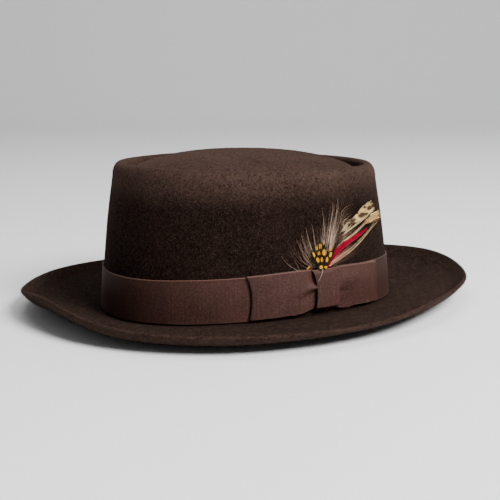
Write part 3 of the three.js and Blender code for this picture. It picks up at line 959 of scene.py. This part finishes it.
# Barbs from a root line to a tip line, both as (along, over); each runs forward to its own tip
def addBarbs(strands, look, rng, marks):
    for k in range(look["count"]):
        t = (k + rng.uniform(0.1, 0.9)) / look["count"]
        root, tip = curvePoint(look["roots"], t), curvePoint(look["tips"], t)
        root = root + np.array([rng.gauss(0, look["rootSway"]), 0.0])
        reach = 1 - look["fray"] * rng.random() ** 2
        sway = look["sway"]
        tip = root + (tip - root) * reach + np.array([rng.gauss(0, sway), rng.gauss(0, sway)])
        bulge = np.array([-(tip - root)[1], (tip - root)[0]]) * (look["bow"] + rng.gauss(0, 0.02))
        middle = (root + tip) / 2 + bulge
        near, far = (root + middle) / 2 + bulge * 0.25, (middle + tip) / 2 + bulge * 0.25
        path = smoothCurve([root, near, middle, far, tip], look["steps"])
        off = look["off"] + look["lift"] * np.maximum(path[:, 1], 0) + rng.uniform(-0.15, 0.15)
        widths = tapered(look["width"] * rng.uniform(0.75, 1.25), look["steps"])
        path = np.column_stack([path, off])
        strands.add(path, widths, marks(path, t), rng.uniform(-0.3, 0.3))


# Hackle fibres fan out from the knot: the way each starts and ends, degrees from upright to the back
hackle = {
    "count": 150, "off": 1.9, "lift": 0.06, "width": 0.17,
    "steps": 14, "seed": 5,
    "stray": [(-0.4, 1.5, 6.2), (-0.9, -0.5, 6.6), (-2.2, -3.2, 6.5), (-4.6, -6.4, 6.6)],
    "strayWidth": 0.32,
}
hackleFan = table(
    "at start end reach root tone",
    (0.0, -84, -12, 22, -3.0, 0.5),
    (0.1, -78, -10, 25, -2.5, 0.52),
    (0.2, -60, -12, 25, -2.0, 0.52),
    (0.3, -42, -15, 26, -1.5, 0.55),
    (0.38, -28, -12, 27, -1.0, 0.58),
    (0.44, -10, -6, 30, -0.5, 0.6),
    (0.5, 0, 2, 34, 0.5, 0.6),
    (0.6, 10, 14, 31, 2.0, 0.66),
    (0.72, 16, 11, 39, 2.5, 0.72),
    (0.84, 22, 16, 45, 3.0, 0.75),
    (0.94, 29, 17, 44, 3.0, 0.68),
    (1.0, 38, 24, 38, 3.5, 0.6),
)
hackleBundles = table(
    "root bend tip count spread tone off",
    ((-15, 0.6), (-22.5, 4.5), (-28, 11.8), 1, 0.3, 0.75, 1.9),
    ((-15, 0.6), (-18, 6.5), (-22.3, 14.2), 1, 0.3, 0.7, 1.9),
    ((5, 5), (9.5, 14), (12.5, 25), 24, 4.0, 0.97, 1.9),
    ((9, 10), (15.5, 19.5), (19, 25.5), 26, 3.4, 0.05, 3.6),
    ((14, 16), (18, 20.5), (23, 23.5), 16, 2.6, 0.1, 3.8),
    ((24, 26), (28, 28.6), (32.5, 30.5), 18, 2.2, 0.05, 3.8),
    ((6, 4), (14, 11), (22, 17.5), 22, 3.0, 0.66, 1.9),
    ((5, 3), (14, 6), (25, 11), 16, 3.4, 0.5, 1.9),
    ((2, 3), (5, 13), (6.5, 25), 12, 3.0, 0.3, 1.9),
    ((-1, 2), (-5, 6), (-8.5, 10), 12, 2.4, 0.35, 1.9),
)


def makeHackle():
    rng = random.Random(hackle["seed"])
    strands = Strands()
    steps, lift = hackle["steps"], hackle["lift"]
    t = np.linspace(0, 1, steps)

    def addFibre(path, tone, change):
        tone = zeroToOne(tone + rng.gauss(0, change))
        marks = [(tone, float(k), rng.uniform(-0.2, 0.2)) for k in t]
        widths = tapered(hackle["width"] * rng.uniform(0.6, 1.3), steps, 0.2)
        strands.add(path, widths, marks, rng.uniform(-0.7, 0.7))

    for _ in range(hackle["count"]):
        place = rng.random() ** 0.62
        row = {key: float(tableValue(hackleFan, key, place)) for key in hackleFan[0]}
        reach = row["reach"] * (0.5 + 0.55 * rng.random() ** 0.7)
        lean = row["start"] + rng.gauss(0, 3.5) + (row["end"] - row["start"] + rng.gauss(0, 6)) * t
        lean = np.radians(lean)
        x = row["root"] + rng.gauss(0, 0.6) + np.cumsum(np.sin(lean)) * reach / steps
        y = 1.2 + rng.random() + np.cumsum(np.cos(lean)) * reach / steps
        off = hackle["off"] + rng.uniform(0, 1.6) + lift * y + rng.uniform(0, 1.2) * t**2
        addFibre(np.column_stack([x, np.maximum(y, 0.5), off]), row["tone"], 0.14)
    for bundle in hackleBundles:
        for _ in range(bundle["count"]):
            off = bundle["off"] + rng.uniform(0, 1.4)
            stops = []
            for key, share in (("root", 0.15), ("bend", 0.4), ("tip", 0.6)):
                x = bundle[key][0] + rng.gauss(0, bundle["spread"] * share)
                y = max(0.6, bundle[key][1] + rng.gauss(0, bundle["spread"] * share))
                stops.append((x, y, off + lift * y + rng.uniform(-0.3, 0.5)))
            addFibre(smoothCurve(stops, steps), bundle["tone"], 0.1)
    stray = smoothCurve(hackle["stray"], steps)
    strands.add(stray, tapered(hackle["strayWidth"], steps), [(0.95, 1.0, 0.0)] * steps)
    strands.piece("featherHackle", "hackle", "feather_hackle")


# Spotted feather: a fan of barbs and a shorter fan over it. Its drops: middle, size, warmth of the yellow
drops = table(
    "along over wide tall warm",
    (1.6, 18.0, 1.5, 2.7, 0.1),
    (-3.9, 15.2, 2.0, 3.3, 0.2),
    (-1.2, 15.8, 2.0, 3.3, 0.35),
    (6.9, 13.8, 2.8, 3.6, 0.9),
    (-6.3, 10.9, 1.6, 3.4, 0.0),
    (-2.4, 11.5, 1.6, 2.6, 0.6),
    (1.7, 11.6, 2.6, 3.8, 0.1),
    (6.7, 9.5, 2.0, 3.2, 0.2),
    (-3.4, 7.3, 1.8, 3.2, 0.1),
    (-0.3, 7.2, 1.7, 3.0, 0.7),
    (3.6, 6.8, 1.8, 3.2, 0.2),
    (-1.2, 2.4, 2.4, 2.2, 0.1),
    (2.6, 1.9, 2.2, 1.6, 0.3),
)
spotted = {
    "roots": [(-1.6, 0.4), (0.2, 0.2), (2.2, 0.6)],
    "tips": [(-8.2, 8.5), (-8.2, 12.5), (-5.0, 17.2), (0.6, 20.3), (6.2, 18.2), (9.8, 13.4), (9.4, 8.5)],
    "count": 74, "fray": 0.12, "sway": 0.25, "rootSway": 0.0,
    "bow": 0.0, "steps": 40, "off": 5.0, "lift": 0.07,
    "width": 0.75, "seed": 21,
}
spottedInner = spotted | {"tips": [(-5, 5), (-3, 9), (0.5, 11), (4, 9), (6, 5)], "count": 30, "off": 5.2}
orangeBit = {"path": [(-10.4, 1.7, 3.0), (-9.4, 2.5, 3.4), (-8.2, 3.3, 3.6)], "widths": [0.5, 1.0, 0.6]}


def dropMarks(path, t):
    marks = []
    for along, over, _ in path:
        spot, warm = 0.0, 0.0
        for drop in drops:
            x, y = along - drop["along"], over - drop["over"]
            tilt = math.atan2(drop["along"] - 0.5, drop["over"] + 8)
            side = x * math.cos(tilt) - y * math.sin(tilt)
            rise = x * math.sin(tilt) + y * math.cos(tilt)
            inside = abs(side / drop["wide"] * 2) ** 3 + abs(rise / drop["tall"] * 2) ** 3
            if 1.5 - inside > spot:
                spot, warm = 1.5 - inside, drop["warm"]
        marks.append((zeroToOne(spot * 0.5 + 0.25), warm, 0.0))
    return marks


def makeSpotted():
    rng = random.Random(spotted["seed"])
    strands = Strands()
    addBarbs(strands, spotted, rng, dropMarks)
    addBarbs(strands, spottedInner, rng, dropMarks)
    strands.add(orangeBit["path"], orangeBit["widths"], [(1.0, 0.6, 0.0)] * 3)
    strands.piece("featherSpotted", "spotted", "feather_spotted")


# Red feather: a narrow vane of side-by-side strips with a shallow fold, and loose barbs under it
red = {
    "spine": [(4, 1.8), (7, 6.6), (12, 10.8), (19, 14.9), (28.2, 17.9), (36.5, 20.6), (43.5, 22.9)],
    "steps": 60, "strips": 14, "foldAt": 0.15, "foldHeight": 0.5,
    "off": 4.7, "lift": 0.06, "firstTone": 0.15, "seed": 31,
}
redWidths = table(
    "at half",
    (0, 0.8), (0.12, 1.6), (0.3, 2.1), (0.6, 1.7), (0.85, 1.15), (0.97, 0.55), (1, 0.2),
)
redUnder = {
    "roots": [(5.0, 2.4), (7.0, 4.6)],
    "tips": [(26.5, 10.0), (24.5, 13.0)],
    "count": 11, "fray": 0.5, "sway": 0.7, "rootSway": 0.8,
    "bow": 0.03, "steps": 12, "off": 4.1, "lift": 0.06,
    "width": 0.2,
}


def makeRed():
    rng = random.Random(red["seed"])
    strands = Strands()
    spine = smoothCurve(red["spine"], red["steps"])
    way = np.gradient(spine, axis=0)
    way /= np.linalg.norm(way, axis=1)[:, None]
    half = tableValue(redWidths, "half", np.linspace(0, 1, red["steps"]))
    for k in range(red["strips"]):
        share = (k + 0.5) / red["strips"] * 2 - 1
        shift = half * share
        place = spine + np.stack([-way[:, 1], way[:, 0]], axis=1) * shift[:, None]
        fold = red["foldHeight"] * (1 - np.abs(share - red["foldAt"]))
        off = red["off"] + red["lift"] * place[:, 1] + fold + rng.uniform(-0.02, 0.02)
        tone = 0.0 if k > 0 else red["firstTone"]
        marks = [(tone, float(a), float(share)) for a in place[:, 0]]
        path, widths = np.column_stack([place, off]), 2.5 * half / red["strips"]
        strands.add(path, widths, marks, 0.12 if share > red["foldAt"] else -0.12)

    def underMarks(path, t):
        tone = rng.choice((0.0, 0.25, 0.8, 1.0))
        return [(tone, float(a), t) for a in path[:, 0]]

    addBarbs(strands, redUnder, rng, underMarks)
    strands.piece("featherRed", "red", "feather_red")


# Dark bars of the barred feather: middle over the band, and half its size each way
bars = table(
    "along over wide tall",
    (57.0, 36.8, 2.4, 1.3),
    (51.3, 35.6, 3.8, 1.5),
    (46.0, 31.9, 3.0, 0.9),
    (40.5, 31.8, 4.2, 1.7),
    (45.0, 36.4, 2.2, 0.8),
    (35.0, 33.6, 1.8, 0.9),
    (27.5, 29.0, 4.6, 2.4),
)
barred = {
    "roots": [(36, 28.4), (30, 27.2), (29.0, 28.6), (31, 30.4), (36, 32.8)],
    "tips": [(54, 33.0), (59, 34.4), (59, 37.2), (56.4, 39.5), (46, 38.2)],
    "count": 110, "fray": 0.5, "sway": 0.5, "rootSway": 0.7,
    "bow": 0.03, "steps": 14, "off": 3.4, "lift": 0.05,
    "width": 0.5, "seed": 41,
}
barredLower = barred | {
    "roots": [(47, 25.6), (50, 28.4), (53, 31.2)],
    "tips": [(67.2, 27.6), (68, 29.8), (66.5, 32.8)],
    "count": 40, "fray": 0.35, "rootSway": 2.4, "off": 3.6,
    "width": 0.36,
}


def barMarks(path, t):
    tone = 0.1 + 0.5 * (t * 37 % 1)
    marks = []
    for x, y, _ in path:
        away = [math.hypot((x - bar["along"]) / bar["wide"], (y - bar["over"]) / bar["tall"]) for bar in bars]
        marks.append((tone, max(0.0, 1.5 - min(away)), 0.0))
    return marks


def makeBarred():
    rng = random.Random(barred["seed"])
    strands = Strands()

    def lowerMarks(path, t):
        tone = rng.choice((0.9, 0.04, 0.04, 0.04, 0.35))
        return [(tone, 0.4, 0.0)] * len(path)

    addBarbs(strands, barred, rng, barMarks)
    addBarbs(strands, barredLower, rng, lowerMarks)
    strands.piece("featherBarred", "barred", "feather_barred")


# Long cream barbs and fluff
cream = {"off": 2.9, "lift": 0.05, "steps": 22, "seed": 61}
creamBundles = table(
    "count spread tone width loose stops",
    (3, 0.5, 0.92, 0.2, 0.18,
     [(7.2, 2), (12.2, 4.6), (20.8, 7.2), (32.6, 12.2), (43.2, 18), (53, 23.2), (68.3, 27.9)]),
    (2, 1.0, 0.55, 0.18, 0.18,
     [(7, 3), (13, 6.6), (22, 9.4), (33, 14.2), (43.2, 19.2), (54, 24.4), (66, 29.5)]),
    (3, 0.6, 0.9, 0.26, 0.18, [(20.5, 16.6), (27, 19), (36, 22.6), (46, 27), (54, 30.8), (61, 34.6)]),
    (4, 0.7, 0.95, 0.26, 0.18, [(19.5, 20.4), (24, 22.6), (31, 25.4), (45, 29.8), (60, 34.2)]),
    (8, 1.7, 0.3, 0.16, 0.35, [(8, 2), (14, 3.6), (22, 5.8), (31, 9.8), (38, 14)]),
    (11, 1.8, 0.42, 0.16, 0.35, [(8, 3), (14, 5.5), (21, 9), (28, 12.5)]),
    (9, 1.5, 0.8, 0.18, 0.9, [(19, 23), (22, 26), (25.5, 28), (29.5, 29)]),
    (9, 1.4, 0.9, 0.18, 0.8, [(21, 22.8), (24, 24.5), (28, 26.4), (31, 28.4)]),
    (12, 1.4, 0.42, 0.17, 0.4, [(12, 16.5), (17, 19.5), (22, 22), (28, 24.5)]),
    (5, 1.4, 0.7, 0.16, 0.3, [(14, 13.5), (20, 17.2), (27, 20), (35, 23)]),
    (2, 1.6, 0.55, 0.12, 0.5, [(20, 25), (18.5, 30), (21, 35), (25, 37.5), (31, 37)]),
    (3, 2.0, 0.55, 0.11, 0.5, [(21, 25), (20.5, 30), (24.5, 33.5), (29, 32)]),
    (5, 2.0, 0.55, 0.11, 0.5, [(22, 26), (23.5, 30), (28, 31), (33, 33)]),
)


def makeCream():
    rng = random.Random(cream["seed"])
    strands = Strands()
    steps = cream["steps"]
    for bundle in creamBundles:
        for _ in range(bundle["count"]):
            spread, last = bundle["spread"], len(bundle["stops"]) - 1
            slide = rng.gauss(0, spread)
            reach = rng.uniform(0.8, 1.0)
            off = cream["off"] + rng.uniform(0, 1.0)
            stops = []
            for k, (x, y) in enumerate(bundle["stops"]):
                drift = 0.3 + 0.7 * k / last
                away = rng.gauss(0, spread * bundle["loose"])
                stops.append((x + away - slide * drift * 0.5, max(0.5, y + (slide + away) * drift * 0.8)))
            path = curvePoint(smoothCurve(stops, steps), np.linspace(0, reach, steps))
            path = np.column_stack([path, off + cream["lift"] * path[:, 1]])
            widths = tapered(bundle["width"] * rng.uniform(0.6, 1.25), steps)
            tone = zeroToOne(bundle["tone"] + rng.gauss(0, 0.2))
            marks = [(tone, float(along), 0.0) for along in path[:, 0]]
            strands.add(path, widths, marks, rng.uniform(-0.5, 0.5))
    strands.piece("featherCream", "cream", "feather_cream")


# Frayed thread ends along the bow's lower edges, most of them behind the knot, and a small tuft
threads = {
    "count": 30, "steps": 6, "width": 0.16, "off": 4.1,
    "lift": 0.7,
    "length": (0.7, 2.4),
    "near": (13, 24),
    "all": (-46, 54),
    "tuft": [(38.0, -26.4, 4.5), (39.0, -24.9, 4.9), (40.2, -25.2, 4.9), (41.6, -26.3, 4.6)],
    "tuftWidth": 0.5, "tuftSteps": 8, "seed": 71,
}


def makeThreads():
    rng = random.Random(threads["seed"])
    strands = Strands()
    steps, plain = threads["steps"], [(0.0, 0.0, 0.0)]
    for _ in range(threads["count"]):
        start = rng.choice([rng.uniform(*threads[key]) for key in ("near", "near", "all")])
        low = tableValue(backLoop["edges"], "low", 1 - min(1, abs(start) / 50))
        over = -band["height"] * (1 - low) + 0.3
        length = rng.uniform(*threads["length"])
        way = rng.uniform(-0.5, 0.5)
        x = start + np.linspace(0, length, steps) * rng.choice((-1, 1))
        y = over + np.linspace(0, length, steps) ** 1.3 * way * 0.5
        off = threads["off"] + np.linspace(0, threads["lift"], steps)
        strands.add(np.column_stack([x, y, off]), tapered(threads["width"], steps), plain * steps)
    count = threads["tuftSteps"]
    strands.add(smoothCurve(threads["tuft"], count), [threads["tuftWidth"]] * count, plain * count)
    strands.piece("bowThreads", "ribbon", marks="weave")


makeThreads()
makeHackle()
makeSpotted()
makeRed()
makeBarred()
makeCream()
print("feathers made")


# Floor and light
studio = {
    "floor": (0.93, 0.93, 0.935),
    "floorCloud": (0.7, 0.7, 0.7),
    "cove": {"start": 1.5, "radius": 0.9, "height": 3.2, "wide": 9.0},
    "room": 0.24,
    "roomColour": (0.98, 0.99, 1.0, 1.0),
    "aim": (0, 0, 0.04),
    "lights": table(
        "name from size watts",
        ("frontRight", (0.28, -1.29, 1.16), 0.85, 65.0),
        ("top", (0.12, 0.3, 1.4), 1.2, 8.0),
        ("right", (1.4, -0.1, 0.9), 0.9, 2.0),
    ),
}


def makeFloor():
    mesh = bpy.data.meshes.new("floor")
    cove, far = studio["cove"], Vector(camera["forward"][:2]).normalized()
    wide, radius = cove["wide"], cove["radius"]
    profile = [(-wide, 0.0), (cove["start"], 0.0)]
    for turn in np.radians(np.linspace(3, 90, 30)):
        profile.append((cove["start"] + radius * math.sin(turn), radius * (1 - math.cos(turn))))
    profile.append((profile[-1][0], cove["height"]))
    points = []
    for u, z in profile:
        for side in (-wide, wide):
            points.append((far.x * u - far.y * side, far.y * u + far.x * side, z))
    rows = range(0, 2 * len(profile) - 2, 2)
    mesh.from_pydata(points, [], [(i, i + 1, i + 3, i + 2) for i in rows])
    mesh.polygons.foreach_set("use_smooth", [True] * len(mesh.polygons))
    floor = Finish("floorFinish", 0.6, 0.3)
    cloud = floor.noise(floor.millimetres(), 0.02, 3.0)
    mesh.materials.append(floor.coloured(floor.mix(cloud * 0.08, studio["floor"], studio["floorCloud"])))
    obj = addObject("floor", mesh)


def makeRoom():
    world = bpy.data.worlds.new("room")
    world.use_nodes = True
    background = world.node_tree.nodes["Background"]
    background.inputs["Color"].default_value = studio["roomColour"]
    background.inputs["Strength"].default_value = studio["room"]
    bpy.context.scene.world = world


def makeLights():
    for light in studio["lights"]:
        data = bpy.data.lights.new(light["name"], "AREA")
        data.shape = "DISK"
        data.size = light["size"]
        data.energy = light["watts"]
        place = Vector(light["from"])
        turn = (Vector(studio["aim"]) - place).to_track_quat("-Z", "Y").to_matrix().to_4x4()
        addObject(light["name"], data).matrix_world = Matrix.Translation(place) @ turn


makeFloor()
makeRoom()
makeLights()
print("studio made")
